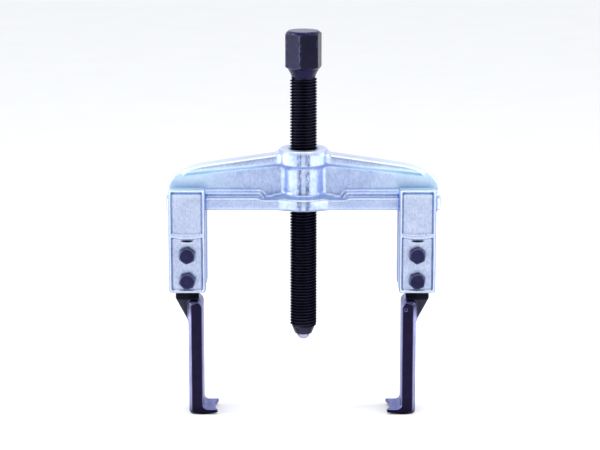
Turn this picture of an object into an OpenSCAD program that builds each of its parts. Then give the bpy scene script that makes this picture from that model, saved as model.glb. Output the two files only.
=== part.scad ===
// Two-arm gear puller: a forged cross beam with a threaded boss, a pressure spindle and two sliding hook arms.
// The origin lies on the spindle's axis, at the level of the undersides of the hooks.
// +Z points up the spindle, the beam runs along X, and the clamp bolts' heads face -Y.

/* [Spindle] */
// Outside diameter of the spindle's thread
thread_d = 18; // [16:1:20]
// Pitch of the spindle's thread
thread_pitch = 2; // [1.5:0.25:2.5]
// Width across the flats of the spindle's hexagon
hex_af = 22; // [20:1:24]
// Height of the spindle's hexagon
hex_h = 25; // [20:1:30]
// Length of the spindle from the ball's tip to the top of the hexagon
spindle_l = 210.5; // [200:0.5:225]
// Diameter of the pressure ball
ball_d = 9.6; // [8:0.2:9.8]

/* [Beam] */
// Half of the beam's length
beam_half = 91.5; // [88:0.5:95]
// Depth of the beam's lower flange, front to back
flange_depth = 29; // [27:0.5:30]
// Thickness of the beam's lower flange
flange_h = 8; // [7:0.5:9]
// Height of the flange's upper face, where the legs slide
flange_z = 150.3; // [145:0.1:155]
// Depth of the beam's top rib, front to back
rib_depth = 13; // [12:0.5:15]
// Thickness of the beam's web
web_t = 8; // [7:0.5:9]

/* [Legs] */
// Distance from the spindle's axis to the right leg's centre line
right_leg_x = 75.9; // [70:0.1:76]
// Distance from the spindle's axis to the left leg's centre line
left_leg_x = 77.5; // [70:0.1:77.5]
// Width of a cheek along the beam
cheek_w = 24.5; // [23:0.5:26]
// Depth over both cheeks, front to back
cheek_depth = 38; // [37:0.5:40]
// Lowest point of a cheek
cheek_z = 86.5; // [84:0.5:88]
// Height of the upper clamp bolt
upper_bolt_z = 112.5; // [111:0.5:114]
// Distance between a leg's two clamp bolts
bolt_spacing = 17.5; // [16:0.5:18]

/* [Hook arms] */
// Width of an arm's blade along the beam
blade_w = 9.6; // [9:0.1:11]
// Depth of an arm's blade, front to back
blade_depth = 26; // [22:0.5:28]
// How far the toe reaches in from the blade
toe_reach = 10.1; // [8:0.1:11]
// Height of the toe's upper face
toe_h = 4; // [3.5:0.1:5]

/* [Hidden] */
$fn = 96;

eps = 0.01;
slide_gap = 0.3;
hex_turn = 11.25;

// Spindle heights
spindle_top = 260.5;
hex_z = spindle_top - hex_h;
neck_z = hex_z - 6;
cone_z = 59.5;
ball_z = spindle_top - spindle_l + ball_d / 2;
ball_gap = 0.03;
ball_grip = 0.6;
tip_z = ball_z - ball_grip;
tip_r = 6.1;
tip_corner = 1.1;
thread_depth = 0.6134 * thread_pitch;
bore_gap = 0.05;

// Beam outline, seen from the front
flange_under = flange_z - flange_h;
flange_half = flange_depth / 2;
end_r = 13;
end_z = flange_z + 3.2;
end_slope = 28;
shoulder_r = 61;
shoulder_slope = 8.3;
rib_foot_z = 172.9;
rib_fall = 0.103;
rib_end = 79.2;
shoulder_x = beam_half - end_r - (shoulder_r - end_r) * cos(90 - end_slope);
shoulder_z = end_z - (shoulder_r - end_r) * sin(90 - end_slope);
taper_x = shoulder_x + shoulder_r * cos(90 - shoulder_slope);
taper_z = shoulder_z + shoulder_r * sin(90 - shoulder_slope);
peak_z = taper_z + taper_x * tan(shoulder_slope);
ledge_half = 7.5;
ledge_h = 2.7;
ledge_x = 28.5;
ledge_end = beam_half - 2.5;
relief_h = 1.4;

// Stop pins at the beam's ends
stop_r = 2;
stop_x = beam_half - 3.7;
stop_drop = 4;
stop_seat = 6;

// Boss
boss_top = 182;
boss_bottom = flange_under - 0.5;
upper_collar_r = 17.2;
upper_collar_z = 171.6;
boss_r = 13.5;
lower_collar_r = 20.2;
boss_foot = 2;
edge_chamfer = 1.5;

// Legs
cheek_half = cheek_depth / 2;
plate_half = 6;
lip_z = flange_z + slide_gap;
lip_top = 156.4;
lip_inner = ledge_half + 0.5;
panel_depth = 1.2;
rim = 2.4;
band_z = 125.1;
band_sag = 1.9;
band_h = 2.9;
bolt_d = 6;
bolt_head_af = 10;
bolt_head_h = 4;
nut_h = 4.8;
washer_t = 1.3;
washer_r = 5.5;
bolt_hole_gap = 0.2;
bolt_heights = [upper_bolt_z, upper_bolt_z - bolt_spacing];
head_seat = cheek_half - panel_depth;
nut_seat = head_seat + washer_t;
bolt_end = nut_seat + nut_h + 0.2;

// Hook arm, in the leg's own frame: u points away from the spindle
blade_out = 0;
blade_in = blade_out - blade_w;
toe_tip = blade_in - toe_reach;
blade_top = 79;
plate_top = flange_under - 1.3;
gusset_u = 8.8;
gusset_z = 80;
gusset_low = 63.2;
toe_rise = 1.2;
toe_notch = 2.8;

// Colours
zinc = [0.80, 0.85, 0.93];
black_oxide = [0.13, 0.11, 0.19];
bright_steel = [0.85, 0.85, 0.88];

function arc(x, z, r, from, to, steps = 16) =
    [for (i = [0:steps]) let (a = from + (to - from) * i / steps) [x + r * cos(a), z + r * sin(a)]];

// Radius of an arc that spans 2 * half and stands sag high
function sag_radius(half, sag) = (half * half + sag * sag) / (2 * sag);

// Stands a shape drawn in X and Z upright, centred on Y
module upright(depth) {
    rotate([90, 0, 0]) linear_extrude(height = depth, center = true) children();
}

module both_sides() {
    children();
    mirror([1, 0, 0]) children();
}

// ---------- Beam ----------

// Right half of the beam above the flange, shrunk by inset all round
module beam_half_outline() {
    polygon(concat(
        [[-eps, flange_z - eps], [beam_half, flange_z - eps]],
        arc(beam_half - end_r, end_z, end_r, 0, 90 - end_slope),
        arc(shoulder_x, shoulder_z, shoulder_r, 90 - end_slope, 90 - shoulder_slope),
        [[-eps, peak_z]]
    ));
}

// Rib along the beam's top, which thins towards its end
module rib_half_outline() {
    intersection() {
        beam_half_outline();
        polygon([
            [-eps, rib_foot_z],
            [rib_end, rib_foot_z - rib_fall * rib_end],
            [rib_end, peak_z],
            [-eps, peak_z]
        ]);
    }
}

module flange() {
    corner = 3;
    for (x = [-1, 1], y = [-1, 1])
        translate([x * (beam_half - corner), y * (flange_half - corner), flange_under])
            cylinder(r = corner, h = flange_h);
    translate([-beam_half, -flange_half + corner, flange_under])
        cube([2 * beam_half, flange_depth - 2 * corner, flange_h]);
    translate([-beam_half + corner, -flange_half, flange_under])
        cube([2 * (beam_half - corner), flange_depth, flange_h]);
}

// The flange stays as forged, a little lower, between the boss and the machined slideways
module forged_relief() {
    for (y = [-1, 1])
        translate([-ledge_x, y > 0 ? ledge_half : -flange_half - 1, flange_z - relief_h])
            cube([2 * ledge_x, flange_half - ledge_half + 1, relief_h + 1]);
}

// Raised step at the foot of the web, beside the slideways
module web_ledge() {
    translate([ledge_x, -ledge_half, flange_z - eps])
        cube([ledge_end - ledge_x, 2 * ledge_half, ledge_h]);
}

module boss() {
    rotate_extrude() polygon([
        [0, boss_bottom],
        [lower_collar_r - edge_chamfer, boss_bottom],
        [lower_collar_r, boss_bottom + edge_chamfer],
        [lower_collar_r, flange_z - edge_chamfer],
        [lower_collar_r - edge_chamfer, flange_z],
        [boss_r + boss_foot, flange_z],
        [boss_r, flange_z + boss_foot],
        [boss_r, upper_collar_z - edge_chamfer],
        [upper_collar_r, upper_collar_z],
        [upper_collar_r, boss_top - 2 * edge_chamfer],
        [upper_collar_r - edge_chamfer, boss_top],
        [0, boss_top]
    ]);
}

module spindle_bore() {
    bore_r = thread_d / 2 + bore_gap;
    flare = 1.5;
    translate([0, 0, boss_bottom - 1]) cylinder(r = bore_r, h = boss_top - boss_bottom + 2);
    translate([0, 0, boss_top - flare]) cylinder(r1 = bore_r, r2 = bore_r + flare + 1, h = flare + 1);
    translate([0, 0, boss_bottom - 1]) cylinder(r1 = bore_r + flare + 1, r2 = bore_r, h = flare + 1);
}

module cross_beam() {
    color(zinc) difference() {
        union() {
            difference() {
                flange();
                forged_relief();
            }
            both_sides() {
                upright(web_t) beam_half_outline();
                upright(rib_depth) rib_half_outline();
                web_ledge();
            }
            boss();
        }
        spindle_bore();
        for (side = [-1, 1])
            translate([side * stop_x, 0, flange_under - eps]) cylinder(r = stop_r, h = stop_seat + eps);
    }
}

// Grooved pin pressed into the flange from below
module end_stop(side) {
    color(black_oxide) translate([side * stop_x, 0, flange_under - stop_drop]) {
        translate([0, 0, 0.4]) cylinder(r = stop_r, h = stop_drop + stop_seat - 0.4);
        cylinder(r1 = stop_r - 0.4, r2 = stop_r, h = 0.4);
    }
}

module left_end_stop() { end_stop(-1); }
module right_end_stop() { end_stop(1); }

// ---------- Spindle ----------

// Outline of the threaded rod, with one V groove for each turn, from the cone to the neck
function thread_outline() =
    let (turns = floor((neck_z - cone_z - thread_pitch) / thread_pitch), crest = thread_d / 2)
    [for (i = [0:turns - 1]) let (z = cone_z + thread_pitch / 2 + i * thread_pitch) each [
        [crest, z],
        [crest, z + thread_pitch / 8],
        [crest - thread_depth, z + thread_pitch / 2],
        [crest - thread_depth, z + thread_pitch * 5 / 8]
    ]];

module spindle() {
    chamfer = 1.6;
    hex_corner = hex_af / 2 / cos(30);
    neck_r = hex_af / 2 - 0.5;
    color(black_oxide) difference() {
        union() {
            rotate_extrude() polygon(concat(
                [[0, tip_z], [tip_r - tip_corner, tip_z], [tip_r, tip_z + tip_corner]],
                [[thread_d / 2 - thread_depth, cone_z]],
                thread_outline(),
                [[thread_d / 2 - thread_depth, neck_z - 1], [thread_d / 2, neck_z]],
                [[neck_r, hex_z], [neck_r, hex_z + 1], [0, hex_z + 1]]
            ));
            intersection() {
                translate([0, 0, hex_z]) rotate([0, 0, 30 - hex_turn]) cylinder(r = hex_corner, h = hex_h, $fn = 6);
                translate([0, 0, hex_z - eps])
                    cylinder(r1 = hex_corner + hex_h - 0.5, r2 = hex_corner - chamfer, h = hex_h + eps);
            }
        }
        translate([0, 0, ball_z]) sphere(r = ball_d / 2 + ball_gap);
    }
}

module pressure_ball() {
    color(bright_steel) translate([0, 0, ball_z]) sphere(r = ball_d / 2);
}

// ---------- Legs ----------

// Moves a leg drawn at X = 0, with +X pointing away from the spindle, to its side
module at_leg(side) {
    if (side > 0) translate([right_leg_x, 0, 0]) children();
    else translate([-left_leg_x, 0, 0]) mirror([1, 0, 0]) children();
}

module rounded_face(w, low, high, r) {
    for (x = [-1, 1]) translate([x * (w / 2 - r), low + r]) circle(r = r);
    translate([-w / 2, low + r]) square([w, high - low - r]);
    translate([-w / 2 + r, low]) square([w - 2 * r, high - low]);
}

// Sagging band that divides the cheek's face, drawn in X and Z
module sagging_band(low, high) {
    sag_r = sag_radius(cheek_w / 2, band_sag);
    intersection() {
        translate([-cheek_w / 2, low - band_sag]) square([cheek_w, high - low + 2 * band_sag]);
        difference() {
            translate([0, low + sag_r - band_sag]) circle(r = sag_r, $fn = 360);
            translate([0, high + sag_r - band_sag]) circle(r = sag_r, $fn = 360);
        }
    }
}

// One cheek, on the front (-Y) side of the leg
module cheek() {
    slot_w = 8.8;
    slot_h = 1.2;
    slot_deep = 3;
    slot_z = band_z - band_sag - 0.3 * band_h;
    slot_r = sag_radius(slot_w / 2, slot_h);
    difference() {
        translate([0, -(cheek_half + plate_half) / 2, 0])
            upright(cheek_half - plate_half) rounded_face(cheek_w, cheek_z, lip_top, 2);
        // Channel for the flange
        translate([-cheek_w, -flange_half - slide_gap, flange_under - slide_gap])
            cube([2 * cheek_w, flange_half, flange_h + 2 * slide_gap]);
        // Clearance for the web's foot, above the flange
        translate([-cheek_w, -lip_inner, flange_z]) cube([2 * cheek_w, flange_half, lip_top]);
        // Sunk panels on the face, above and below the band
        translate([0, -cheek_half, 0]) upright(2 * panel_depth) difference() {
            rounded_face(cheek_w - 2 * rim, cheek_z + rim / 2, lip_top - rim / 2, 1);
            sagging_band(band_z - band_h, band_z);
        }
        // Lens-shaped slot in the band
        translate([0, -cheek_half, 0]) upright(2 * slot_deep) intersection() {
            translate([0, slot_z - slot_h + slot_r]) circle(r = slot_r);
            translate([-slot_w / 2, slot_z - slot_h]) square([slot_w, slot_h]);
        }
        bolt_holes();
    }
}

module bolt_axis(z) {
    translate([0, 0, z]) rotate([90, 0, 0]) children();
}

module bolt_holes() {
    for (z = bolt_heights)
        bolt_axis(z) cylinder(r = bolt_d / 2 + bolt_hole_gap, h = 3 * cheek_half, center = true);
}

module cheek_front(side) {
    color(zinc) at_leg(side) cheek();
}

module cheek_rear(side) {
    color(zinc) at_leg(side) mirror([0, 1, 0]) cheek();
}

// Outline of the blade and toe, seen from the front, with the leg's centre line at X = 0
module hook_outline() {
    inside_r = 3;
    heel_r = 3;
    difference() {
        union() {
            polygon(concat(
                [[toe_tip + 0.5, toe_rise], [blade_in, 0]],
                arc(blade_out - heel_r, heel_r, heel_r, -90, 0, 8),
                arc(blade_out - heel_r, blade_top - heel_r, heel_r, 0, 90, 8),
                arc(blade_in + heel_r, blade_top - heel_r, heel_r, 90, 180, 8),
                [[blade_in, toe_h], [toe_tip, toe_h], [toe_tip, toe_rise + 0.5]]
            ));
            translate([blade_in - inside_r, toe_h - eps]) square([inside_r + eps, inside_r + eps]);
        }
        translate([blade_in - inside_r, toe_h + inside_r]) circle(r = inside_r);
    }
}

module hook_arm(side) {
    plate_in = -7.4;
    plate_out = 7.5;
    plate_r = 3;
    plate_t = 2 * plate_half;
    notch_r = sag_radius(blade_depth / 2, toe_notch);
    color(black_oxide) at_leg(side) difference() {
        union() {
            upright(blade_depth) hook_outline();
            upright(plate_t) polygon(concat(
                [[blade_out - 1, gusset_low - 2], [blade_out, gusset_low], [gusset_u, gusset_z]],
                arc(plate_out - plate_r, plate_top - plate_r, plate_r, 0, 90, 8),
                arc(plate_in + plate_r, plate_top - plate_r, plate_r, 90, 180, 8),
                [[plate_in, blade_top - 8]]
            ));
        }
        // Hollow in the toe's tip, so that it grips a round edge
        translate([toe_tip + toe_notch - notch_r, 0, -1]) cylinder(r = notch_r, h = toe_h + 2);
        bolt_holes();
    }
}

module clamp_bolt(side, z, turn) {
    corner = bolt_head_af / 2 / cos(30);
    color(black_oxide) at_leg(side) bolt_axis(z) {
        translate([0, 0, -bolt_end]) cylinder(r = bolt_d / 2, h = bolt_end + head_seat + eps);
        translate([0, 0, head_seat]) intersection() {
            rotate([0, 0, turn]) cylinder(r = corner, h = bolt_head_h, $fn = 6);
            cylinder(r1 = corner + 2 * bolt_head_h - 0.9, r2 = corner - 0.9, h = bolt_head_h);
        }
    }
}

module clamp_nut(side, z, turn) {
    corner = bolt_head_af / 2 / cos(30);
    color(black_oxide) at_leg(side) bolt_axis(z) translate([0, 0, -nut_seat - nut_h]) difference() {
        rotate([0, 0, turn]) cylinder(r = corner, h = nut_h, $fn = 6);
        translate([0, 0, -1]) cylinder(r = bolt_d / 2, h = nut_h + 2);
    }
}

// Split spring washer
module clamp_washer(side, z) {
    split = 0.6;
    color(black_oxide) at_leg(side) bolt_axis(z) translate([0, 0, -nut_seat]) difference() {
        cylinder(r = washer_r, h = washer_t);
        translate([0, 0, -1]) cylinder(r = bolt_d / 2 + bolt_hole_gap, h = washer_t + 2);
        translate([0, -split / 2, -1]) cube([washer_r + 1, split, washer_t + 2]);
    }
}

module left_cheek_front() { cheek_front(-1); }
module left_cheek_rear() { cheek_rear(-1); }
module left_hook_arm() { hook_arm(-1); }
module left_upper_bolt() { clamp_bolt(-1, bolt_heights[0], 37); }
module left_lower_bolt() { clamp_bolt(-1, bolt_heights[1], 47); }
module left_upper_nut() { clamp_nut(-1, bolt_heights[0], 12); }
module left_lower_nut() { clamp_nut(-1, bolt_heights[1], 40); }
module left_upper_washer() { clamp_washer(-1, bolt_heights[0]); }
module left_lower_washer() { clamp_washer(-1, bolt_heights[1]); }
module right_cheek_front() { cheek_front(1); }
module right_cheek_rear() { cheek_rear(1); }
module right_hook_arm() { hook_arm(1); }
module right_upper_bolt() { clamp_bolt(1, bolt_heights[0], 25); }
module right_lower_bolt() { clamp_bolt(1, bolt_heights[1], 20); }
module right_upper_nut() { clamp_nut(1, bolt_heights[0], 25); }
module right_lower_nut() { clamp_nut(1, bolt_heights[1], 5); }
module right_upper_washer() { clamp_washer(1, bolt_heights[0]); }
module right_lower_washer() { clamp_washer(1, bolt_heights[1]); }

cross_beam();
left_end_stop();
right_end_stop();
spindle();
pressure_ball();
left_cheek_front();
left_cheek_rear();
left_hook_arm();
left_upper_bolt();
left_lower_bolt();
left_upper_nut();
left_lower_nut();
left_upper_washer();
left_lower_washer();
right_cheek_front();
right_cheek_rear();
right_hook_arm();
right_upper_bolt();
right_lower_bolt();
right_upper_nut();
right_lower_nut();
right_upper_washer();
right_lower_washer();
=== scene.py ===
"""Gear puller: forged surfaces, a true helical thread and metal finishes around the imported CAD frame."""

import itertools
import math

import bmesh
import bpy
import numpy as np
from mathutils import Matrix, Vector


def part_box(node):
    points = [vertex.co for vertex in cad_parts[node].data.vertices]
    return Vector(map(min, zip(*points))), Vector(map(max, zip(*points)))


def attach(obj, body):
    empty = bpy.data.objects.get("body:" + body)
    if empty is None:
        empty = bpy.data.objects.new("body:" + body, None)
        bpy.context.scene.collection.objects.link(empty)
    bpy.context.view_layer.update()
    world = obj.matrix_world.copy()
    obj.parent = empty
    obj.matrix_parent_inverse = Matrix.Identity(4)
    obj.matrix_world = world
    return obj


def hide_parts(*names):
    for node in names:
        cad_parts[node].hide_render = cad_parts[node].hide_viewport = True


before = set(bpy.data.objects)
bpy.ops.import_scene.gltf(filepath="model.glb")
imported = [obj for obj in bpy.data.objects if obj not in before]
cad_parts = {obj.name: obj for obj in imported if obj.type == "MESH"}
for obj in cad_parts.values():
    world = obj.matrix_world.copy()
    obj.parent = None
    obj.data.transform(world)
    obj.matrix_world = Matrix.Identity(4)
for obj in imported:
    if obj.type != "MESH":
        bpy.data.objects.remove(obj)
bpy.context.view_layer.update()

MM = 0.001
SIDES = {"left": -1, "right": 1}

# ---------- Sizes in millimetres, read from the frame where a CAD node fixes them ----------


def node_box(node):
    """Lowest and highest corner of a CAD node, in millimetres."""
    low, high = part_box(node)
    return np.array(low) / MM, np.array(high) / MM


beam_low, beam_high = node_box("cross_beam")
spindle_low, spindle_high = node_box("spindle")
ball_low, ball_high = node_box("pressure_ball")
cheek_low, cheek_high = node_box("right_cheek_front")
arm_high = node_box("right_hook_arm")[1]

# Cross beam
BEAM_HALF = beam_high[0]
BOSS_TOP = beam_high[2]
BOSS_BOTTOM = beam_low[2]
BOSS_R = 13.5
BOSS_FILLET = 2.4
UPPER_COLLAR_R = 17.2
UPPER_COLLAR_LOW = 171.6
LOWER_COLLAR_R = beam_high[1]
COLLAR_CORNER = 1.5
BORE_R = 9.05
BORE_FLARE = 1.5
FLANGE_H = 8.0
FLANGE_UNDER = BOSS_BOTTOM + 0.5
FLANGE_TOP = FLANGE_UNDER + FLANGE_H
FLANGE_HALF = 14.5
FLANGE_CORNER = 3.0
FORGED_EDGE = 0.9
WEB_HALF = 4.0
RIB_HALF = 6.5
RIB_EDGE = 2.2
RIB_FILLET = 1.6
RIB_FOOT_Z = 172.9  # the rib's lower edge, carried on to the axis
RIB_FALL = 0.103  # and its fall in each millimetre outward
RIB_END = 79.2
LEDGE_HALF = 7.5
LEDGE_TOP = FLANGE_TOP + 2.7
LEDGE_RISE = 0.9  # how much higher its roof is at the web
LEDGE_FALL = 0.45  # and its fall in each millimetre away from the web
LEDGE_START = 26.6
LEDGE_SLOPE = math.radians(48)
RELIEF_START = 27.0  # nearer the boss than this, the flange's top is lower by FORGED_DROP
RELIEF_RUN = 4.0
FORGED_DROP = 1.4
END_R = 13.0
END_RISE = 3.2
END_SLOPE = 28.0  # in degrees, where the end's arc meets the shoulder's
SHOULDER_R = 61.0
SHOULDER_SLOPE = 8.3  # in degrees, from the shoulder up to the boss

# Cheeks
CHEEK_HALF_W = (cheek_high[0] - cheek_low[0]) / 2
CHEEK_LOW = cheek_low[2]
CHEEK_TOP = cheek_high[2]
CHEEK_FACE = -cheek_low[1]
PLATE_HALF = -cheek_high[1]
CHEEK_CORNER = 2.2
CHEEK_EDGE = 0.8
SLIDE_GAP = 0.3
LIP_INNER = 8.0  # half the opening between the two cheeks' lips above the beam
RIM = 2.1
TOP_RIM = 0.8
SIDE_GROOVE = 0.35
SIDE_GROOVE_W = 0.6
TOP_GROOVE = 1.2
TOP_GROOVE_W = 1.6
PANEL_DEPTH = 1.2
PANEL_CORNER = 1.4
BAND_Z = 125.1
BAND_H = 2.9
BAND_SAG = 1.9
SLOT_H = 1.1
SLOT_HALF = 4.6

# Hook arms, where U is measured from the leg's centre line away from the spindle
BLADE_OUT = 0.0
BLADE_IN = -9.6
BLADE_HALF = arm_high[1]
BLADE_TOP = 79.0
INNER_BEVEL = 0.7
BEVEL_GROWTH = 1.5
GUSSET_U = 8.8
GUSSET_TOP = 80.0
GUSSET_LOW = 63.2
PLATE_IN = -7.4
PLATE_OUT = 7.5
PLATE_TOP = arm_high[2]
TOE_TIP = -19.7
TOE_TOP = 4.0
TOE_RISE = 1.2
TOE_NOTCH = 2.8
DIMPLE_U = -7.0  # centre of the hardness test's mark
DIMPLE_Z = 73.3
DIMPLE_R = 1.5
DIMPLE_RAISE = 0.6

# Spindle and ball
THREAD_R = 9.0
PITCH = 2.0
THREAD_DEPTH = 0.6134 * PITCH
THREAD_ROOT = THREAD_R - THREAD_DEPTH
THREAD_START = 0.35  # share of a turn
RUN_OUT_SLOPE = 1.1
HEX_AF = 22.0
HEX_H = 25.0
HEX_TURN = 11.25  # degrees from a corner at the front
HEX_TOP = spindle_high[2]
HEX_LOW = HEX_TOP - HEX_H
NECK_R = 10.55
NECK_Z = HEX_LOW - 6
CHAMFER_SLOPE = math.tan(math.radians(30))
CONE_Z = 59.5
TIP_Z = spindle_low[2]
TIP_R = 6.1
TIP_CORNER = 1.1
BALL_R = (ball_high[2] - ball_low[2]) / 2
BALL_Z = (ball_high[2] + ball_low[2]) / 2
BALL_GAP = 0.03
SPINDLE_SEGMENTS = 96

# M6 fasteners, and the degrees that each bolt's hexagon is turned from a corner at the top
BOLT_R = 3.0
BOLT_HEAD_H = 4.0
FASTENER_AF = 10.0
FASTENER_FACE_R = 4.75
FASTENER_SEGMENTS = 96
BOLT_TURN = {("left", "upper"): 7, ("left", "lower"): 17, ("right", "upper"): 5, ("right", "lower"): 10}
WASHER_BORE_GAP = 0.25
WASHER_GAP_DEGREES = 8
WASHER_RISE = 0.22
WASHER_BEVEL = 0.15
WASHER_STEPS = 72

# Spacing of the grid on which each forged part's surface is found
BEAM_STEP = 0.62
CHEEK_STEP = 0.45
ARM_STEP = 0.5


def leg_centre(side):
    """X of a leg's centre line."""
    low, high = node_box(f"{side}_cheek_front")
    return (low[0] + high[0]) / 2


# ---------- Distance fields ----------


def outline_distance(points, x, z):
    """Signed distance from points (x, z) to a closed outline, negative inside."""
    pts = np.asarray(points, float)
    nearest = np.full(np.broadcast(x, z).shape, np.inf)
    inside = np.zeros(nearest.shape, bool)
    for (ax, az), (bx, bz) in zip(pts, np.roll(pts, -1, axis=0)):
        ex, ez = bx - ax, bz - az
        length2 = ex * ex + ez * ez
        if length2 == 0:
            continue
        t = np.clip(((x - ax) * ex + (z - az) * ez) / length2, 0, 1)
        nearest = np.minimum(nearest, (x - ax - t * ex) ** 2 + (z - az - t * ez) ** 2)
        crosses = (az > z) != (bz > z)
        if ez != 0:
            inside ^= crosses & (x < ax + ex * (z - az) / ez)
    return np.where(inside, -1, 1) * np.sqrt(nearest)


def arc(cx, cz, r, start, end, steps=14):
    """Points along an arc, with its angles in degrees."""
    angles = np.radians(np.linspace(start, end, steps + 1))
    return [(cx + r * math.cos(a), cz + r * math.sin(a)) for a in angles]


def rounded_corner(a, b, r):
    """Intersection of two fields, with the corner between them rounded to radius r."""
    a, b = a + r, b + r
    outside = np.sqrt(np.maximum(a, 0) ** 2 + np.maximum(b, 0) ** 2)
    return np.minimum(np.maximum(a, b), 0) + outside - r


def prism(flat, along, half, edge=0.0):
    """A flat shape's distance extended to plus and minus half, with rounded edges."""
    return rounded_corner(flat, np.abs(along) - half, edge)


def circle(radius, *offsets):
    """Distance to a circle or a sphere, from the offsets from its centre."""
    return np.sqrt(sum(offset * offset for offset in offsets)) - radius


def join(a, b, r):
    """Union with a fillet of radius r."""
    u, v = np.maximum(r - a, 0), np.maximum(r - b, 0)
    return np.maximum(r, np.minimum(a, b)) - np.sqrt(u * u + v * v)


def carve(a, b, r=0.0):
    """a without b, with the new edge rounded to radius r."""
    if r == 0:
        return np.maximum(a, -b)
    u, v = np.maximum(r + a, 0), np.maximum(r - b, 0)
    return np.minimum(-r, np.maximum(a, -b)) + np.sqrt(u * u + v * v)


def overlap(*fields):
    """Intersection of several fields."""
    result = fields[0]
    for field in fields[1:]:
        result = np.maximum(result, field)
    return result


def span(value, low, high):
    """Negative between low and high."""
    return np.maximum(low - value, value - high)


def ease(value, low, high):
    """Rises smoothly from 0 at low to 1 at high."""
    t = np.clip((value - low) / (high - low), 0, 1)
    return t * t * (3 - 2 * t)


def sag_radius(half, sag):
    """Radius of an arc from half its chord and its height."""
    return (half * half + sag * sag) / (2 * sag)


# ---------- Fields of the forged parts ----------


def beam_outline():
    """The beam's right half seen from the front, from the flange up to its sloping top."""
    end_z = FLANGE_TOP + END_RISE
    steep = math.radians(90 - END_SLOPE)
    shoulder_x = BEAM_HALF - END_R - (SHOULDER_R - END_R) * math.cos(steep)
    shoulder_z = end_z - (SHOULDER_R - END_R) * math.sin(steep)
    end = arc(BEAM_HALF - END_R, end_z, END_R, 0, 90 - END_SLOPE)
    shoulder = arc(shoulder_x, shoulder_z, SHOULDER_R, 90 - END_SLOPE, 90 - SHOULDER_SLOPE)
    taper_x, taper_z = shoulder[-1]
    peak = taper_z + taper_x * math.tan(math.radians(SHOULDER_SLOPE))
    far, foot = 40, FLANGE_UNDER + 3
    slope_z = peak + far * math.tan(math.radians(SHOULDER_SLOPE))
    return [(-far, foot), (BEAM_HALF, foot), *end, *shoulder, (-far, slope_z)]


def boss_profile():
    """Outline of the boss and its two collars, as (radius, height)."""
    past_axis = -5
    return [
        (past_axis, BOSS_BOTTOM),
        (LOWER_COLLAR_R - COLLAR_CORNER, BOSS_BOTTOM),
        (LOWER_COLLAR_R, BOSS_BOTTOM + COLLAR_CORNER),
        (LOWER_COLLAR_R, FLANGE_TOP - COLLAR_CORNER),
        (LOWER_COLLAR_R - 1, FLANGE_TOP - 0.2),
        (BOSS_R + 2.2, FLANGE_TOP + 0.3),
        (BOSS_R + 0.6, FLANGE_TOP + 1.1),
        (BOSS_R, FLANGE_TOP + 2.6),
        (BOSS_R, UPPER_COLLAR_LOW - 2.5),
        (BOSS_R + 1.2, UPPER_COLLAR_LOW - 0.8),
        (UPPER_COLLAR_R - 0.5, UPPER_COLLAR_LOW),
        (UPPER_COLLAR_R, UPPER_COLLAR_LOW + 0.6),
        (UPPER_COLLAR_R, BOSS_TOP - 2 * COLLAR_CORNER),
        (UPPER_COLLAR_R - COLLAR_CORNER, BOSS_TOP),
        (past_axis, BOSS_TOP),
    ]


def beam_body(x, y, z):
    """Web, rib, flange and ledge of one quarter of the beam."""
    outline = outline_distance(beam_outline(), x, z)
    web = prism(outline, y, WEB_HALF, FORGED_EDGE)
    under_rib = (RIB_FOOT_Z - RIB_FALL * x - z) / math.hypot(1, RIB_FALL)
    rib = prism(overlap(outline, under_rib, x - RIB_END), y, RIB_HALF, RIB_EDGE)
    upper = join(web, rib, RIB_FILLET)
    raised = ease(x, RELIEF_START, RELIEF_START + RELIEF_RUN)
    top = FLANGE_TOP - FORGED_DROP * (1 - raised)
    plan = rounded_corner(x - BEAM_HALF, y - FLANGE_HALF, FLANGE_CORNER)
    flange = prism(plan, z - (top + FLANGE_UNDER) / 2, (top - FLANGE_UNDER) / 2, FORGED_EDGE)
    slant = 0.9
    ledge_roof = (z - LEDGE_TOP - LEDGE_RISE + (y - WEB_HALF) * LEDGE_FALL) * slant
    ledge_end = (z - FLANGE_TOP) * math.cos(LEDGE_SLOPE) - (x - LEDGE_START) * math.sin(LEDGE_SLOPE)
    ledge = overlap(y - LEDGE_HALF, ledge_roof, ledge_end, outline + 1.5, FLANGE_UNDER + 4 - z)
    fillet = 3.0 - 1.8 * raised
    body = join(upper, np.minimum(flange, ledge), fillet)
    return np.maximum(np.minimum(body, flange), x - BEAM_HALF)


def beam_field(x, y, z):
    """The whole cross beam with its bored boss."""
    radius = np.sqrt(x * x + y * y)
    boss = outline_distance(boss_profile(), radius, z)
    body = join(beam_body(np.abs(x), np.abs(y), z), boss, BOSS_FILLET)
    body = np.maximum(body, BOSS_BOTTOM - z)
    mouth = np.maximum(z - BOSS_TOP + BORE_FLARE, BOSS_BOTTOM + BORE_FLARE - z)
    bore = radius - BORE_R - np.maximum(mouth, 0)
    return np.maximum(body, -bore)


def cheek_panels(u, z):
    """Both sunk panels on a cheek's front, with the sagging band between them left out."""
    sag_r = sag_radius(CHEEK_HALF_W, BAND_SAG)
    ring = circle(sag_r, u, z - (BAND_Z - BAND_SAG + sag_r))
    band = np.abs(ring + BAND_H / 2) - BAND_H / 2
    beside = np.abs(u) - CHEEK_HALF_W + RIM
    beyond = np.maximum(CHEEK_LOW + RIM - z, z - CHEEK_TOP + TOP_RIM)
    return overlap(rounded_corner(beside, beyond, PANEL_CORNER), -band)


def cheek_slot(u, z):
    """The lens-shaped slot under the band."""
    radius = sag_radius(SLOT_HALF, SLOT_H)
    top = BAND_Z - BAND_SAG - 0.3 * BAND_H
    return np.maximum(circle(radius, u, z - top + SLOT_H - radius), z - top)


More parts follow.
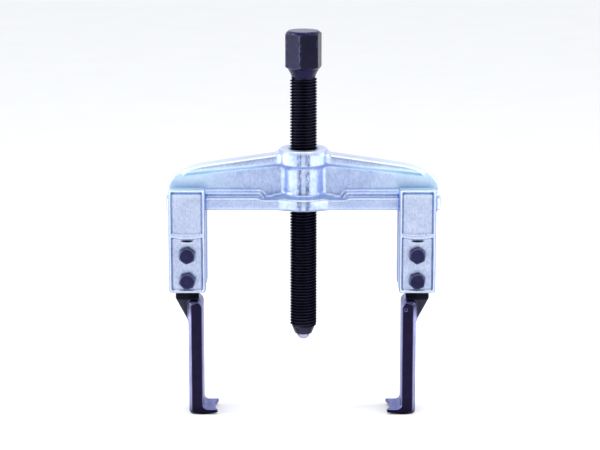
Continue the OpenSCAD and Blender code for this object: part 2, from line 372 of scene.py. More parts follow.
def cheek_field(u, y, z):
    """The front cheek, with u measured from the leg's centre line away from the spindle."""
    half_h = (CHEEK_TOP - CHEEK_LOW) / 2
    middle_z = CHEEK_LOW + half_h
    face = rounded_corner(np.abs(u) - CHEEK_HALF_W, np.abs(z - middle_z) - half_h, CHEEK_CORNER)
    top_half = 10
    square_top = np.maximum(np.abs(u) - CHEEK_HALF_W, np.abs(z - CHEEK_TOP + top_half) - top_half)
    middle, half = -(CHEEK_FACE + PLATE_HALF) / 2, (CHEEK_FACE - PLATE_HALF) / 2
    body = prism(np.minimum(face, square_top), y - middle, half, CHEEK_EDGE)
    panels = cheek_panels(u, z)
    sunk = np.abs(y + CHEEK_FACE) - PANEL_DEPTH
    body = carve(body, np.maximum(panels, sunk), 0.3)
    outer_side = CHEEK_HALF_W - RIM - SIDE_GROOVE_W - u
    inner_side = CHEEK_HALF_W - RIM - 0.8 * SIDE_GROOVE_W + u
    body = carve(body, overlap(panels, np.minimum(outer_side, inner_side), sunk - SIDE_GROOVE))
    top_side = CHEEK_TOP - TOP_RIM - TOP_GROOVE_W - z
    body = carve(body, overlap(panels, top_side, sunk - TOP_GROOVE))
    beam_gap = span(z, FLANGE_UNDER - SLIDE_GAP, FLANGE_TOP + SLIDE_GAP)
    channel = np.maximum(-FLANGE_HALF - SLIDE_GAP - y, beam_gap)
    above = np.maximum(-LIP_INNER - y, FLANGE_TOP - z)
    body = carve(body, channel, 0.3)
    body = carve(body, above, 0.6)
    return carve(body, cheek_slot(u, z))


def blade_outline():
    """The hook arm's thick blade and its toe, seen from the front."""
    heel, crown, inside = 3.0, 4.5, 3.0
    return [
        (TOE_TIP + 0.8, TOE_RISE),
        (BLADE_IN, 0),
        *arc(BLADE_OUT - heel, heel, heel, -90, 0, 8),
        *arc(BLADE_OUT - heel, BLADE_TOP - heel, heel, 0, 90, 8),
        *arc(BLADE_IN + crown, BLADE_TOP - crown, crown, 90, 180, 8),
        (BLADE_IN, TOE_TOP + inside),
        *arc(BLADE_IN - inside, TOE_TOP + inside, inside, 0, -90, 8),
        (TOE_TIP, TOE_TOP),
        (TOE_TIP, TOE_RISE + 1),
    ]


def plate_outline():
    """The thin plate that the cheeks clamp, with its gusset down to the blade."""
    corner = 3.0
    return [
        (BLADE_OUT - 2, GUSSET_LOW - 2.5),
        (BLADE_OUT, GUSSET_LOW),
        (GUSSET_U, GUSSET_TOP),
        *arc(PLATE_OUT - corner, PLATE_TOP - corner, corner, 0, 90, 8),
        *arc(PLATE_IN + corner, PLATE_TOP - corner, corner, 90, 180, 8),
        (PLATE_IN, BLADE_TOP - 8),
    ]


def arm_field(u, y, z, dimple=False):
    """A hook arm, with u measured from the leg's centre line away from the spindle."""
    depth = np.abs(y)
    flat = outline_distance(blade_outline(), u, z)
    bevel = INNER_BEVEL + BEVEL_GROWTH * ease(u, BLADE_IN + 2, BLADE_OUT - 2)
    thick = overlap(flat, depth - BLADE_HALF, (flat + depth - BLADE_HALF + bevel) * math.sqrt(0.5))
    thin = prism(outline_distance(plate_outline(), u, z), depth, PLATE_HALF, 0.6)
    body = join(thick, thin, 1.5)
    notch_r = sag_radius(BLADE_HALF, TOE_NOTCH)
    notch = circle(notch_r, u - TOE_TIP - TOE_NOTCH + notch_r, y)
    body = carve(body, np.maximum(notch, z - TOE_TOP - 2), 0.4)
    if dimple:
        hardness_mark = circle(DIMPLE_R, u - DIMPLE_U, y + BLADE_HALF + DIMPLE_RAISE, z - DIMPLE_Z)
        body = carve(body, hardness_mark, 0.2)
    return body


# ---------- Meshes ----------


def net_quads(inside, index):
    """One quad round each grid edge that crosses the surface. Index holds each cell's vertex number."""
    quads = []
    for axis in range(3):
        here = np.take(inside, range(inside.shape[axis] - 1), axis=axis)
        there = np.take(inside, range(1, inside.shape[axis]), axis=axis)
        b, c = (axis + 1) % 3, (axis + 2) % 3
        for flip in (False, True):
            found = np.argwhere((~here & there) if flip else (here & ~there))
            if not len(found):
                continue
            ring = []
            for db, dc in ((0, 0), (-1, 0), (-1, -1), (0, -1)):
                cell = found.copy()
                cell[:, b] += db
                cell[:, c] += dc
                ring.append(index[tuple(cell.T)])
            quad = np.stack(ring, axis=1)
            quads.append(quad[:, ::-1] if flip else quad)
    return np.concatenate(quads)


def surface_net(field, low, high, step):
    """Vertices and quads where a field is zero, with one vertex in each cell that the surface crosses."""
    axes = [np.arange(a - step, b + 2 * step, step) for a, b in zip(low, high)]
    values = field(axes[0][:, None, None], axes[1][None, :, None], axes[2][None, None, :])
    grid = np.broadcast_to(values, [len(a) for a in axes])
    cells = [n - 1 for n in grid.shape]

    def corner(i, j, k):
        return grid[i : i + cells[0], j : j + cells[1], k : k + cells[2]]

    total = np.zeros((*cells, 3))
    count = np.zeros(cells)
    for start in itertools.product((0, 1), repeat=3):
        for axis in range(3):
            if start[axis]:
                continue
            end = tuple(1 if i == axis else value for i, value in enumerate(start))
            fa, fb = corner(*start), corner(*end)
            crossed = (fa < 0) != (fb < 0)
            share = np.where(crossed, fa / np.where(crossed, fa - fb, 1), 0)
            for i in range(3):
                total[..., i] += crossed * (start[i] + share * (end[i] - start[i]))
            count += crossed
    used = count > 0
    index = np.full(cells, -1)
    index[used] = np.arange(used.sum())
    verts = (np.argwhere(used) + total[used] / count[used][:, None]) * step + [a[0] for a in axes]
    return verts, net_quads(grid < 0, index)


def add_object(name, verts, faces, material):
    """An object from vertices in millimetres."""
    points = [tuple(v) for v in np.asarray(verts) * MM]
    mesh = bpy.data.meshes.new(name)
    mesh.from_pydata(points, [], [tuple(int(i) for i in f) for f in faces])
    mesh.validate()
    mesh.shade_smooth()
    mesh.materials.append(material)
    piece = bpy.data.objects.new(name, mesh)
    bpy.context.scene.collection.objects.link(piece)
    return piece


def forged(name, field, box, step, material, smoothing=2):
    """A mesh of a field inside a box, with a grid of the given step, smoothed like a forging."""
    verts, quads = surface_net(field, *box, step)
    piece = add_object(name, verts, quads, material)
    soften = piece.modifiers.new("soften", "SMOOTH")
    soften.factor = 0.5
    soften.iterations = smoothing
    return piece


def ring_mesh(rings, cap_first=True, cap_last=True):
    """Verts and faces through rings, each an (n, 3) array."""
    n = len(rings[0])
    verts = np.concatenate(rings)
    faces = []
    for r in range(len(rings) - 1):
        for j in range(n):
            k = (j + 1) % n
            faces.append((r * n + j, r * n + k, (r + 1) * n + k, (r + 1) * n + j))
    if cap_first:
        faces.append(tuple(range(n))[::-1])
    if cap_last:
        base = (len(rings) - 1) * n
        faces.append(tuple(base + j for j in range(n)))
    return verts, faces


def turned(radius, height, segments):
    """A ring of radius (a number or one for each segment) at height."""
    angle = np.arange(segments) * 2 * math.pi / segments
    r = np.broadcast_to(radius, angle.shape)
    h = np.broadcast_to(height, angle.shape)
    return np.stack([r * np.cos(angle), r * np.sin(angle), h], axis=1)


def hex_radius(across_flats, turn, segments):
    """Radius of a hexagon's outline at each segment's angle, with a vertex at turn degrees."""
    angle = np.arange(segments) * 360 / segments - turn
    from_flat = (angle % 60) - 30
    return across_flats / 2 / np.cos(np.radians(from_flat))


def finish_mesh(piece, merge=0.0, sharp=None):
    """Merges doubles, turns all normals outward and keeps edges of more than sharp degrees crisp."""
    work = bmesh.new()
    work.from_mesh(piece.data)
    if merge:
        bmesh.ops.remove_doubles(work, verts=work.verts, dist=merge * MM)
        bmesh.ops.dissolve_degenerate(work, edges=work.edges, dist=merge * MM)
    bmesh.ops.recalc_face_normals(work, faces=work.faces)
    work.to_mesh(piece.data)
    work.free()
    if sharp:
        piece.data.set_sharp_from_angle(angle=math.radians(sharp))
    return piece


def stand_in(piece, node, body):
    """Shows a piece in place of a CAD node and lets it ride on a body."""
    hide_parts(node)
    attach(piece, body)


# ---------- Materials ----------

FULL, NONE = (1, 1, 1), (0, 0, 0)
# Stretches of a noise pattern, whose spots are taller than wide
TALL, TALLER = (1, 1, 0.45), (1, 1, 0.2)


class Nodes:
    """Short names for the few shader nodes that the metals and the studio share."""

    def __init__(self, tree, coords="Object"):
        self.tree = tree
        self.coords_node = tree.nodes.new("ShaderNodeTexCoord")
        self.coords = self.coords_node.outputs[coords]

    def link(self, source, target):
        self.tree.links.new(source, target)

    def fill(self, socket, value):
        """Links a socket to another node's output, or sets it to a colour or a number."""
        if isinstance(value, tuple):
            socket.default_value = (*value, 1)
        elif isinstance(value, (int, float)):
            socket.default_value = value
        else:
            self.link(value, socket)

    def maths(self, operation, *inputs):
        node = self.tree.nodes.new("ShaderNodeMath")
        node.operation = operation
        for socket, value in zip(node.inputs, inputs):
            self.fill(socket, value)
        return node.outputs["Value"]

    def part(self, vector, axis):
        """One coordinate of a vector."""
        split = self.tree.nodes.new("ShaderNodeSeparateXYZ")
        self.link(vector, split.inputs["Vector"])
        return split.outputs[axis]

    def ramp(self, value, stops):
        """Colour by value, from stops of (value, colour)."""
        node = self.tree.nodes.new("ShaderNodeValToRGB")
        elements = node.color_ramp.elements
        while len(elements) < len(stops):
            elements.new(0.5)
        for element, (at, colour) in zip(elements, stops):
            element.position = at
            element.color = (*colour, 1)
        self.link(value, node.inputs["Fac"])
        return node.outputs["Color"]

    def mix(self, factor, a, b, mode="MIX"):
        node = self.tree.nodes.new("ShaderNodeMix")
        node.data_type = "RGBA"
        node.blend_type = mode
        self.fill(node.inputs["Factor"], factor)
        sockets = [s for s in node.inputs if s.type == "RGBA"]
        for socket, value in zip(sockets, (a, b)):
            self.fill(socket, value)
        return next(s for s in node.outputs if s.type == "RGBA")

    def times(self, a, b):
        return self.mix(1.0, a, b, "MULTIPLY")

    def scaled(self, value, low, high, from_low=0.0, from_high=1.0, smooth=False):
        """Takes the range from_low to from_high to the range low to high."""
        node = self.tree.nodes.new("ShaderNodeMapRange")
        if smooth:
            node.interpolation_type = "SMOOTHSTEP"
        node.inputs["From Min"].default_value = from_low
        node.inputs["From Max"].default_value = from_high
        node.inputs["To Min"].default_value = low
        node.inputs["To Max"].default_value = high
        self.link(value, node.inputs["Value"])
        return node.outputs["Result"]


class MaterialNodes(Nodes):
    """A new material, with the patterns that its surface can be tinted by."""

    def __init__(self, name):
        self.material = bpy.data.materials.new(name)
        self.material.use_nodes = True
        super().__init__(self.material.node_tree)
        self.shader = self.tree.nodes["Principled BSDF"]

    def noise(self, scale, detail=4.0, rough=0.55, stretch=(1, 1, 1)):
        mapping = self.tree.nodes.new("ShaderNodeMapping")
        mapping.inputs["Scale"].default_value = stretch
        self.link(self.coords, mapping.inputs["Vector"])
        node = self.tree.nodes.new("ShaderNodeTexNoise")
        node.inputs["Scale"].default_value = scale
        node.inputs["Detail"].default_value = detail
        node.inputs["Roughness"].default_value = rough
        self.link(mapping.outputs["Vector"], node.inputs["Vector"])
        return node.outputs["Fac"]

    def upward(self):
        """How far the surface faces up, -1 to 1."""
        return self.part(self.coords_node.outputs["Normal"], "Z")

    def facing(self, axis):
        """How far the surface faces along one of the piece's own axes, either way, 0 to 1."""
        return self.maths("ABSOLUTE", self.part(self.coords_node.outputs["Normal"], axis))

    def along(self, axis, low, high):
        """Distance from the origin along an axis, either way: 0 at low and 1 at high, in millimetres."""
        distance = self.maths("ABSOLUTE", self.part(self.coords, axis))
        return self.scaled(distance, 0, 1, low * MM, high * MM)

    def pointiness(self):
        return self.tree.nodes.new("ShaderNodeNewGeometry").outputs["Pointiness"]

    def creases(self, distance, inside=False):
        """Openness within a distance in millimetres: low in creases, or with inside near convex edges."""
        node = self.tree.nodes.new("ShaderNodeAmbientOcclusion")
        node.samples = 8
        node.inside = inside
        node.inputs["Distance"].default_value = distance * MM
        return node.outputs["AO"]

    def finish(self, tone, metallic, roughness, bumps):
        """Sets the shader's inputs. Bumps are (height, strength, distance in millimetres)."""
        self.fill(self.shader.inputs["Base Color"], tone)
        self.fill(self.shader.inputs["Metallic"], metallic)
        self.fill(self.shader.inputs["Roughness"], roughness)
        normal = None
        for height, strength, distance in bumps:
            node = self.tree.nodes.new("ShaderNodeBump")
            node.inputs["Strength"].default_value = strength
            node.inputs["Distance"].default_value = distance * MM
            self.link(height, node.inputs["Height"])
            if normal is not None:
                self.link(normal, node.inputs["Normal"])
            normal = node.outputs["Normal"]
        if normal is not None:
            self.link(normal, self.shader.inputs["Normal"])
        return self.material


def zinc_shades(nodes, shades):
    """Cloudy, flecked zinc, with painted light at the beam's ends and crest and painted shade on sideways
    faces.
    """
    tone = nodes.ramp(nodes.noise(110, 5), list(zip((0.3, 0.55, 0.8), shades)))
    flecks = nodes.noise(900, 4, 0.75, TALL)
    fleck = nodes.ramp(flecks, [(0.38, (0.62, 0.64, 0.78)), (0.58, FULL)])
    tone = nodes.mix(0.75, tone, fleck, "MULTIPLY")
    # Painted light: paler towards the beam's ends, from 156 mm up
    end_highlight = nodes.times(nodes.along("X", 42, 75), nodes.along("Z", 150, 156))
    tone = nodes.mix(nodes.scaled(end_highlight, 0, 0.6), tone, (0.66, 0.86, 1.0))
    # Painted light: upward faces of the crest are paler, as if lit from above
    crest = nodes.times(nodes.scaled(nodes.upward(), 0, 1, 0.3, 0.7), nodes.along("Z", 157, 166))
    tone = nodes.mix(nodes.scaled(crest, 0, 0.4), tone, (0.80, 0.85, 0.93))
    # Painted shade: faces that turn sideways are darker
    side_shade = nodes.ramp(nodes.facing("X"), [(0.6, FULL), (0.95, (0.68, 0.72, 0.96))])
    return nodes.times(tone, side_shade)


def zinc_rims(nodes, tone, rim_highlight_share, outline):
    """Painted highlight on convex edges, except sides and undersides; a painted shade outline where a
    front edge turns away.
    """
    # Painted highlight: convex edges are paler, except on sides and undersides
    rim_highlights = nodes.ramp(nodes.creases(2.4, inside=True), [(0.70, FULL), (0.95, NONE)])
    rim_highlights = nodes.times(rim_highlights, nodes.ramp(nodes.facing("X"), [(0.45, FULL), (0.8, NONE)]))
    rim_highlights = nodes.times(rim_highlights, nodes.scaled(nodes.upward(), 0, 1, -0.35, -0.05))
    tone = nodes.mix(nodes.scaled(rim_highlights, 0, rim_highlight_share), tone, (0.86, 0.91, 0.96))
    # Painted shade: a darker outline where a front edge turns away
    if outline:
        turned_away = [(0.12, FULL), (0.35, outline), (0.85, outline), (0.98, FULL)]
        tone = nodes.times(tone, nodes.ramp(nodes.facing("X"), turned_away))
    return tone


def zinc_undersides(nodes, tone):
    """Painted shade on undersides up to the flange, and painted light on the one below the rib."""
    # Painted shade: downward faces up to the flange are darker
    down = nodes.scaled(nodes.upward(), 1, 0, -0.8, -0.2)
    flange = nodes.times(down, nodes.along("Z", FLANGE_TOP + 4, FLANGE_TOP))
    tone = nodes.mix(nodes.scaled(flange, 0, 0.8), tone, (0.22, 0.28, 0.48))
    # Painted light: downward faces below the rib are paler
    sloping = nodes.scaled(nodes.upward(), 1, 0, -0.7, -0.1)
    rib = nodes.times(nodes.times(sloping, nodes.along("Z", 156, 160)), nodes.along("X", 18, 40))
    return nodes.mix(nodes.scaled(rib, 0, 0.8), tone, (0.70, 0.94, 1.0))


def zinc_creases(nodes, tone, line_at, line_tint, line_end):
    """Sky blue painted shade near creases, and a broken line of painted shade in line_tint in them.

    The line weakens towards line_end out along the rib, and on the boss's sides.
    """
    # Painted shade: sky blue near creases
    crease_shade = nodes.ramp(nodes.creases(5), [(0.35, (0.62, 0.84, 1.0)), (0.85, FULL)])
    tone = nodes.mix(0.7, tone, crease_shade, "MULTIPLY")
    # Painted shade: a darker broken line in the creases, weaker along the rib and on the boss's sides
    deep = tuple(c * 0.4 for c in line_tint)
    stops = [(line_at - 0.18, deep), (line_at, line_tint), (line_at + 0.26, FULL)]
    line = nodes.ramp(nodes.creases(2), stops)
    fade = nodes.times(nodes.along("X", 15, 60), nodes.along("Z", 156, 160))
    pillar = nodes.times(nodes.scaled(nodes.facing("X"), 0, 1, 0.2, 0.5), nodes.along("X", 24, 18))
    fade = nodes.mix(pillar, fade, (0.9, 0.9, 0.9))
    broken = nodes.scaled(nodes.noise(700, 4, 0.7), 0.55, 1.0, 0.38, 0.58)
    return nodes.mix(nodes.times(nodes.scaled(fade, 0.98, line_end), broken), tone, line, "MULTIPLY")


def boss_painted_reflections(nodes, tone):
    """Painted reflections as two mottled dark streaks down the boss's front and back, and a paler band of
    painted highlight between them.
    """
    square_on = nodes.scaled(nodes.facing("Y"), 0, 1, 0.85, 0.93)
    # Painted reflection: mottled dark streaks beside the boss's axis, front and back
    dark_reflection = nodes.times(nodes.times(nodes.along("X", 0.9, 1.9), nodes.along("X", 4.9, 3.8)), square_on)
    reflection_mottle = nodes.noise(620, 5, 0.7, TALL)
    mottled_reflection = nodes.ramp(reflection_mottle, [(0.42, (0.22, 0.24, 0.34)), (0.62, FULL)])
    tone = nodes.mix(nodes.scaled(dark_reflection, 0, 0.9), tone, nodes.times(tone, mottled_reflection))
    # Painted highlight: a paler band down the boss's middle
    lit = nodes.times(nodes.along("X", 1.5, 0.6), square_on)
    return nodes.mix(nodes.scaled(lit, 0, 0.14), tone, (0.85, 0.90, 0.96))


def zinc_plate(name, shades, rim_highlight_share, line_at, line_tint, line_end, outline=None):
    """Zinc plate over a forging. Shades are its deep, middle and light tint."""
    nodes = MaterialNodes(name)
    tone = zinc_shades(nodes, shades)
    tone = zinc_rims(nodes, tone, rim_highlight_share, outline)
    tone = zinc_undersides(nodes, tone)
    tone = zinc_creases(nodes, tone, line_at, line_tint, line_end)
    tone = boss_painted_reflections(nodes, tone)
    hammer, grain = (nodes.noise(330, 3), 0.35, 0.4), (nodes.noise(2600, 3), 0.28, 0.1)
    return nodes.finish(tone, 0.65, nodes.scaled(nodes.noise(240, 3), 0.26, 0.40), [hammer, grain])


def zone_tint(nodes, zones):
    """Tint by height, from stops of (height in millimetres, tint, grazing tint)."""
    low, high = zones[0][0], zones[-1][0]
    height = nodes.along("Z", low, high)
    places = [(z - low) / (high - low) for z, tint, grazing in zones]
    grazing = nodes.ramp(height, list(zip(places, [zone[2] for zone in zones])))
    nodes.link(grazing, nodes.shader.inputs["Specular Tint"])
    return nodes.ramp(height, list(zip(places, [zone[1] for zone in zones])))


def arm_shading(nodes, tone, flank):
    """A hook arm's tone and flank: a dark crown and black above the blade in painted shade, and a grey
    gusset in painted light.
    """
    # Painted shade: the crown loses its edge highlight
    crown = nodes.times(nodes.along("Z", 67, 76), nodes.along("X", 69.5, 71.5))
    flank = nodes.mix(nodes.scaled(crown, 0, 0.93), flank, NONE)
    front = nodes.scaled(nodes.facing("Y"), 0, 1, 0.4, 0.9)
    # Painted light: the gusset's front is a lighter grey
    lit_gusset = nodes.times(nodes.along("X", 75.5, 76.5), front)
    tone = nodes.mix(nodes.scaled(lit_gusset, 0, 0.7), tone, (0.040, 0.041, 0.062))
    # Painted shadow under the cheeks: black above the blade
    shade = nodes.times(nodes.along("Z", 78.4, 79.4), front)
    return nodes.mix(nodes.scaled(shade, 0, 0.85), tone, (0.0012, 0.001, 0.002)), flank


def black_flanks(nodes, tone, edges, inner):
    """Painted highlights on bevels and upper faces in the colour edges, and on broad sides more weakly.

    Inner is the same for the hook arms' inner sides.
    """
    broad = (0.22, 0.22, 0.22)
    # Painted highlight: bevels take the colour edges, broad sides less, square-on faces none
    flank = nodes.ramp(nodes.facing("Y"), [(0.1, broad), (0.4, FULL), (0.72, FULL), (0.93, NONE)])
    if inner:
        edges = nodes.mix(nodes.along("X", 67, 70), inner, edges)
        tone, flank = arm_shading(nodes, tone, flank)
    # Painted highlight: upper faces take it too, as lit from above
    flank = nodes.mix(nodes.scaled(nodes.upward(), 0, 0.9, 0.3, 0.8), flank, FULL)
    highlight_streaks = nodes.noise(240, 5, 0.65, TALLER)
    highlight_streaks = nodes.ramp(highlight_streaks, [(0.35, (0.65, 0.65, 0.65)), (0.6, FULL)])
    return nodes.mix(flank, tone, nodes.times(highlight_streaks, edges))


def black_oxide(name, wear_and_glint, rough, tint=None, edges=None, inner=None, zones=None):
    """Black oxide in one tint or in zones along a piece, with wear and painted glints on edges, and
    painted shade in creases.
    """
    nodes = MaterialNodes(name)
    if zones:
        tint = zone_tint(nodes, zones)
    else:
        nodes.shader.inputs["Specular Tint"].default_value = (0.8, 0.82, 1.0, 1)
    tone = nodes.times(tint, nodes.ramp(nodes.noise(160, 5), [(0.3, (0.6, 0.6, 0.6)), (0.75, FULL)]))
    # Painted highlights on bevels, in the colours edges and inner
    if edges:
        tone = black_flanks(nodes, tone, edges, inner)
    # Wear and painted glints: pointed edges and thread crests turn lighter in patches
    worn_and_glinting = nodes.ramp(nodes.pointiness(), [(0.515, NONE), (0.60, FULL)])
    patches = nodes.ramp(nodes.noise(420, 6, 0.7), [(0.46, NONE), (0.62, FULL)])
    tone = nodes.mix(nodes.scaled(nodes.times(worn_and_glinting, patches), 0, wear_and_glint), tone, (0.22, 0.21, 0.42))
    # Painted shade: darker near creases and in thread valleys
    near = nodes.ramp(nodes.creases(2.2), [(0.45, (0.05, 0.04, 0.07)), (0.9, FULL)])
    tone = nodes.mix(0.95, tone, near, "MULTIPLY")
    # Painted shade: darker where other surfaces are close, as under the cheeks
    wide = nodes.ramp(nodes.creases(20), [(0.42, (0.08, 0.07, 0.10)), (0.78, FULL)])
    tone = nodes.mix(0.9, tone, wide, "MULTIPLY")
    roughness = nodes.scaled(nodes.noise(380, 4), rough - 0.07, rough + 0.1)
    waves, grain = (nodes.noise(300, 3), 0.14, 0.3), (nodes.noise(3200, 2), 0.15, 0.06)
    return nodes.finish(tone, 0.9, roughness, [waves, grain])


def polished_steel():
    nodes = MaterialNodes("polished_ball")
    tone = nodes.ramp(nodes.noise(900, 4), [(0.35, (0.34, 0.33, 0.46)), (0.65, (0.44, 0.43, 0.58))])
    roughness = nodes.scaled(nodes.noise(1500, 3), 0.12, 0.22)
    return nodes.finish(tone, 1.0, roughness, [(nodes.noise(2500, 2), 0.1, 0.04)])


def floor_paper():
    nodes = MaterialNodes("studio_floor")
    tone = nodes.ramp(nodes.noise(14, 3), [(0.3, (0.93, 0.93, 0.935)), (0.7, (0.95, 0.95, 0.955))])
    return nodes.finish(tone, 0.0, nodes.scaled(nodes.noise(60, 2), 0.75, 0.85), [])


# (height in millimetres, tint, grazing tint) up the spindle
DULL, GLOSSY = (0.22, 0.22, 0.4), (1, 1, 1)
THREAD_TINT, HEX_TINT = (0.02, 0.018, 0.037), (0.0048, 0.0045, 0.016)
SPINDLE_ZONES = [
    (TIP_Z, (0.036, 0.036, 0.07), GLOSSY),
    (CONE_Z, (0.026, 0.026, 0.052), GLOSSY),
    (CONE_Z + 0.8, (0.034, 0.031, 0.055), DULL),
    (CONE_Z + 12, THREAD_TINT, DULL),
    (NECK_Z, THREAD_TINT, DULL),
    (NECK_Z + 0.8, (0.017, 0.013, 0.055), GLOSSY),
    (HEX_LOW, (0.014, 0.011, 0.045), GLOSSY),
    (HEX_LOW + 0.5, HEX_TINT, GLOSSY),
    (HEX_TOP - 0.7, HEX_TINT, GLOSSY),
    (HEX_TOP, (0.055, 0.06, 0.22), GLOSSY),
]

# The rim share sets each zinc's painted highlight on edges, the line settings its painted shade in
# creases, and the outline the painted shade where front edges turn away.
BEAM_ZINC = zinc_plate(
    "zinc_beam",
    shades=((0.36, 0.45, 0.67), (0.43, 0.52, 0.73), (0.52, 0.60, 0.79)),
    rim_highlight_share=0.7,
    line_at=0.58,
    line_tint=(0.17, 0.30, 0.90),
    line_end=0.0,
)
CHEEK_ZINC = zinc_plate(
    "zinc_cheek",
    shades=((0.43, 0.49, 0.65), (0.50, 0.56, 0.71), (0.58, 0.63, 0.77)),
    rim_highlight_share=0.45,
    line_at=0.50,
    line_tint=(0.38, 0.42, 0.78),
    line_end=0.9,
    outline=(0.32, 0.40, 0.54),
)
BLACK = black_oxide("black_oxide_steel", wear_and_glint=0.25, rough=0.30, zones=SPINDLE_ZONES)
# Edges and inner are the painted highlight colours of the arm's bevels
ARM = black_oxide(
    "black_oxide_arm",
    tint=(0.013, 0.0095, 0.034),
    wear_and_glint=0.22,
    rough=0.30,
    edges=(0.25, 0.26, 0.45),
    inner=(0.20, 0.22, 0.54),
)
# Edges is the painted highlight colour of the fasteners' bevels
FASTENER = black_oxide(
    "black_fastener", tint=(0.023, 0.0235, 0.075), wear_and_glint=0.3, rough=0.34, edges=(0.10, 0.105, 0.15)
)
POLISHED = polished_steel()

# ---------- Pieces ----------


def make_beam():
    box = beam_low, beam_high
    piece = forged("forged_cross_beam", beam_field, box, BEAM_STEP, BEAM_ZINC, smoothing=3)
    stand_in(piece, "cross_beam", "beam")


def make_end_stop(side):
    """Round pin under the beam's end, with a shallow dish in its face."""
    node = f"{side}_end_stop"
    low, high = node_box(node)
    centre = (low + high) / 2
    r = (high[0] - low[0]) / 2
    dish, bevel = 0.25, 0.5
    profile = [
        (0.05, low[2] + dish),
        (r * 0.45, low[2] + dish),
        (r * 0.55, low[2]),
        (r - bevel, low[2]),
        (r, low[2] + bevel),
        (r, high[2]),
    ]
    verts, faces = ring_mesh([turned(radius, height, 48) for radius, height in profile])
    piece = add_object(f"{side}_stop_pin", verts + [centre[0], centre[1], 0], faces, FASTENER)
    stand_in(finish_mesh(piece), node, "beam")


def thread_rows():
    """(share of a pitch, depth below the crest) across one thread, with slightly broken corners."""
    crest, root = 1 / 16, 1 / 8
    return [
        (0, 0),
        (crest * 0.8, 0.0),
        (crest * 1.4, 0.07),
        (0.5 - root * 1.1, THREAD_DEPTH - 0.06),
        (0.5 - root * 0.6, THREAD_DEPTH),
        (0.5 + root * 0.6, THREAD_DEPTH),
        (0.5 + root * 1.1, THREAD_DEPTH - 0.06),
        (1 - crest * 1.4, 0.07),
        (1 - crest * 0.8, 0.0),
    ]


def threaded_rod(low, high, segments):
    """A right-hand thread between two heights. Its rows follow the helix and end on flat root circles."""
    rows = thread_rows()
    turns = int(math.ceil((high - low) / PITCH)) + 2
    share = np.arange(segments) / segments
    angle = share * 2 * math.pi
    verts = []
    for turn in range(turns):
        for phase, depth in rows:
            z = np.clip(low + (turn - 1 + phase + share + THREAD_START) * PITCH, low, high)
            run_out = THREAD_ROOT + np.minimum(z - low, high - z) * RUN_OUT_SLOPE
            r = np.minimum(THREAD_R - depth, run_out)
            verts.append(np.stack([r * np.cos(angle), r * np.sin(angle), z], axis=1))
    count, per_turn = len(verts), len(rows)
    faces = []
    for number in range(count - 1):
        row, above = number * segments, (number + 1) * segments
        for j in range(segments - 1):
            faces.append((row + j, row + j + 1, above + j + 1, above + j))
        if number + 1 + per_turn < count:
            turn_on = per_turn * segments
            faces.append((row + segments - 1, row + turn_on, above + turn_on, above + segments - 1))
    return np.concatenate(verts), faces


def spindle_end():
    """Profile of the lower end as (radius, height): the ball's socket, the rounded tip and the taper."""
    socket_r = BALL_R + BALL_GAP
    socket = [
        (socket_r * math.sin(math.radians(a)), BALL_Z - socket_r * math.cos(math.radians(a)))
        for a in (150, 130, 110, 90)
    ]
    mouth = math.sqrt(socket_r**2 - (BALL_Z - TIP_Z) ** 2)
    corner = arc(TIP_R - TIP_CORNER, TIP_Z + TIP_CORNER, TIP_CORNER, -90, -15, 5)
    taper = [(THREAD_ROOT - 0.25, CONE_Z - 0.8), (THREAD_ROOT, CONE_Z)]
    return [*socket, (mouth, TIP_Z), *corner, *taper]


def spindle_head():
    """Profile of the neck and the hexagon as (radius, height). Either can differ round the spindle."""
    hexagon = hex_radius(HEX_AF, 90 - HEX_TURN, SPINDLE_SEGMENTS)
    chamfer_r = HEX_AF / 2 - 0.4
    drop = np.maximum(hexagon - chamfer_r, 0) * CHAMFER_SLOPE
    return [
        (THREAD_ROOT, NECK_Z),
        (THREAD_ROOT + 0.25, NECK_Z + 0.8),
        (THREAD_ROOT + 0.9, NECK_Z + 2.5),
        (NECK_R - 0.75, NECK_Z + 4.6),
        (NECK_R - 0.15, NECK_Z + 5.6),
        (NECK_R, HEX_LOW),
        (hexagon, HEX_LOW + drop),
        (hexagon, HEX_LOW + 2.2),
        (hexagon, HEX_TOP - 2.6),
        (hexagon, HEX_TOP - 0.5 - drop * 1.3),
        (chamfer_r - 0.7, HEX_TOP),
        (0.1, HEX_TOP),
    ]


def make_spindle():
    verts, faces = threaded_rod(CONE_Z, NECK_Z, SPINDLE_SEGMENTS)
    end_rings = [turned(r, z, SPINDLE_SEGMENTS) for r, z in spindle_end()]
    end_verts, end_faces = ring_mesh(end_rings, cap_first=True, cap_last=False)
    head_rings = [turned(r, z, SPINDLE_SEGMENTS) for r, z in spindle_head()]
    head_verts, head_faces = ring_mesh(head_rings, cap_first=False, cap_last=True)
    faces += [tuple(i + len(verts) for i in f) for f in end_faces]
    faces += [tuple(i + len(verts) + len(end_verts) for i in f) for f in head_faces]
    piece = add_object("threaded_spindle", np.concatenate([verts, end_verts, head_verts]), faces, BLACK)
    stand_in(finish_mesh(piece, merge=0.004, sharp=24), "spindle", "spindle")


def make_ball():
    angles = np.linspace(0, math.pi, 33)
    rings = [turned(max(BALL_R * math.sin(a), 0.01), BALL_Z - BALL_R * math.cos(a), 64) for a in angles]
    verts, faces = ring_mesh(rings)
    piece = add_object("steel_ball", verts, faces, POLISHED)
    stand_in(finish_mesh(piece), "pressure_ball", "ball")


def make_cheek(side, end):
    outward = SIDES[side]
    frontward = 1 if end == "front" else -1
    centre = leg_centre(side)

    def field(x, y, z):
        return cheek_field((x - centre) * outward, y * frontward, z)

    node = f"{side}_cheek_{end}"
    piece = forged(f"{side}_{end}_cheek_forging", field, node_box(node), CHEEK_STEP, CHEEK_ZINC)
    stand_in(piece, node, f"{side}_leg")


